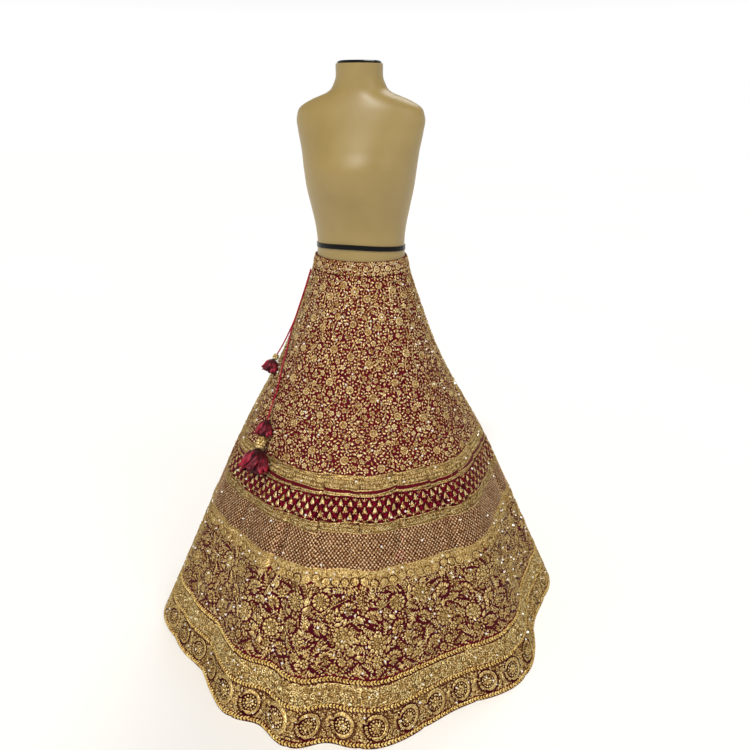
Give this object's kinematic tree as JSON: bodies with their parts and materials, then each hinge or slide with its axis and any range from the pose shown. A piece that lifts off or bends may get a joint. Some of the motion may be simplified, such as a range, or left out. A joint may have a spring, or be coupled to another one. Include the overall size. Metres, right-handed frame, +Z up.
{
  "type": "lehenga skirt on a limbless dress form with stand",
  "caption": "Floor-length flared lehenga skirt of narrow gores with gold embroidered bands, side drawstring and latkan ornaments, on a limbless dress form.",
  "frame": {"origin": "on the floor under the middle of the stand's pole, on the underside of the stand's round base", "axes": "+Z up, -Y towards the front of the form, +X towards the wearer's left"},
  "size_m": [1.1715, 1.2643, 1.4863],
  "materials": {
    "embroidered_silk": "maroon silk under dense gold zari embroidery",
    "gold_cord": "twisted metallic gold cord",
    "crimson_cord": "thin twisted silk cord",
    "crimson_silk": "gathered satin silk",
    "gold_beads": "metallised gold beads",
    "form_shell": "satin beige lacquered shell",
    "gloss_black": "high gloss black",
    "stand_steel": "satin steel"
  },
  "bodies": {
    "root": {"waistband": "embroidered_silk", "kali_01": "embroidered_silk", "kali_02": "embroidered_silk", "kali_03": "embroidered_silk", "kali_04": "embroidered_silk", "kali_05": "embroidered_silk", "kali_06": "embroidered_silk", "kali_07": "embroidered_silk", "kali_08": "embroidered_silk", "kali_09": "embroidered_silk", "kali_10": "embroidered_silk", "kali_11": "embroidered_silk", "kali_12": "embroidered_silk", "kali_13": "embroidered_silk", "kali_14": "embroidered_silk", "kali_15": "embroidered_silk", "kali_16": "embroidered_silk", "kali_17": "embroidered_silk", "kali_18": "embroidered_silk", "kali_19": "embroidered_silk", "kali_20": "embroidered_silk", "kali_21": "embroidered_silk", "kali_22": "embroidered_silk", "kali_23": "embroidered_silk", "kali_24": "embroidered_silk", "braid_upper": "gold_cord", "braid_lower": "gold_cord", "hem_cording": "gold_cord", "drawstring_long": "crimson_cord", "drawstring_short": "crimson_cord", "latkan_upper_flower": "crimson_silk", "latkan_beads": "gold_beads", "latkan_lower_flower": "crimson_silk", "latkan_short_beads": "gold_beads", "latkan_short_flower": "crimson_silk", "form_torso": "form_shell", "form_neck_cap": "gloss_black", "form_waist_band": "gloss_black", "stand_pole": "stand_steel", "stand_base": "stand_steel"}
  },
  "joints": []
}
